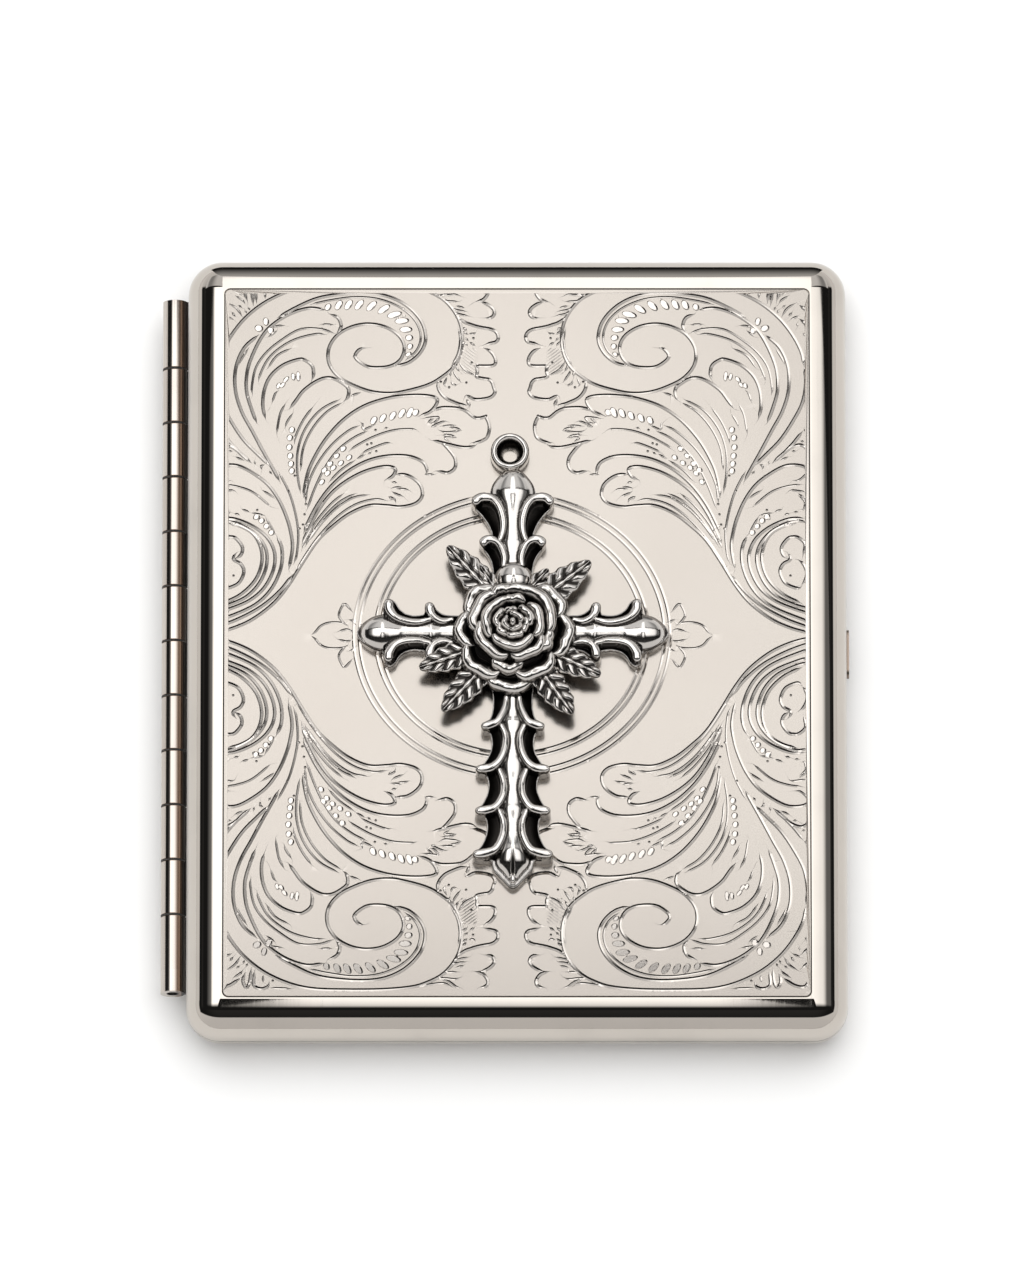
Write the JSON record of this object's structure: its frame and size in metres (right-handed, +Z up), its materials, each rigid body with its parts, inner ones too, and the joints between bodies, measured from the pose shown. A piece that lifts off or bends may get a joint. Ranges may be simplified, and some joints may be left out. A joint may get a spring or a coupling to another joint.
{
  "type": "rosary box",
  "caption": "Slim hinged metal case for a rosary, with a polished rounded edge, an engraved lid plate, a cross with a rose, and a push-button catch.",
  "frame": {"origin": "centre of the base's flat underside, on which the shut case lies", "axes": "+Z up out of the lid, +Y along the hinge towards the top of the cross, +X from the hinge towards the push button"},
  "size_m": [0.0835, 0.0982, 0.0158],
  "materials": {
    "polished_nickel": "mirror-polished nickel plate on stamped steel",
    "engraved_nickel": "satin nickel plate with bright-cut engraving",
    "plain_nickel": "satin nickel plate with a fine lengthwise brush",
    "antique_silver": "antiqued silver plate on a zinc casting, bright ridges and black oxidised recesses",
    "spring_steel": "bare spring steel and steel wire",
    "lining_card": "dark paper card",
    "velvet": "short-pile wine-red velvet"
  },
  "bodies": {
    "base": {"base_shell": "polished_nickel", "base_plate": "plain_nickel", "base_board": "lining_card", "base_velvet": "velvet", "hinge_base_leaf": "polished_nickel", "hinge_pin": "spring_steel", "latch_bracket": "spring_steel", "latch_rivets": "spring_steel"},
    "lid": {"lid_shell": "polished_nickel", "lid_plate": "engraved_nickel", "lid_board": "lining_card", "lid_velvet": "velvet", "lid_strike": "spring_steel", "hinge_lid_leaf": "polished_nickel", "cross": "antique_silver", "cross_rivets": "spring_steel", "rose_leaves": "antique_silver", "rose": "antique_silver", "rose_rivet": "spring_steel"},
    "button": {"push_button": "polished_nickel"},
    "latch": {"latch_spring": "spring_steel", "latch_hook": "spring_steel"}
  },
  "joints": [
    {"name": "lid_hinge", "type": "hinge", "parent": "base", "child": "lid", "pos_m": [-0.04165, 0, 0.0047], "axis": [0, -1, 0], "range_deg": [0, 165]},
    {"name": "button_press", "type": "slide", "parent": "base", "child": "button", "axis": [-1, 0, 0], "range_m": [0, 0.0007], "stiffness_N_per_m": 1500, "springref_m": -0.0003},
    {"name": "latch_flex", "type": "hinge", "parent": "base", "child": "latch", "pos_m": [0.03787, -0.02, 0.0032], "axis": [0, 0, 1], "range_deg": [0, 2.1]}
  ],
  "couplings": [
    {"joint": "latch_flex", "follows": "button_press", "rad_per_m": 50}
  ]
}
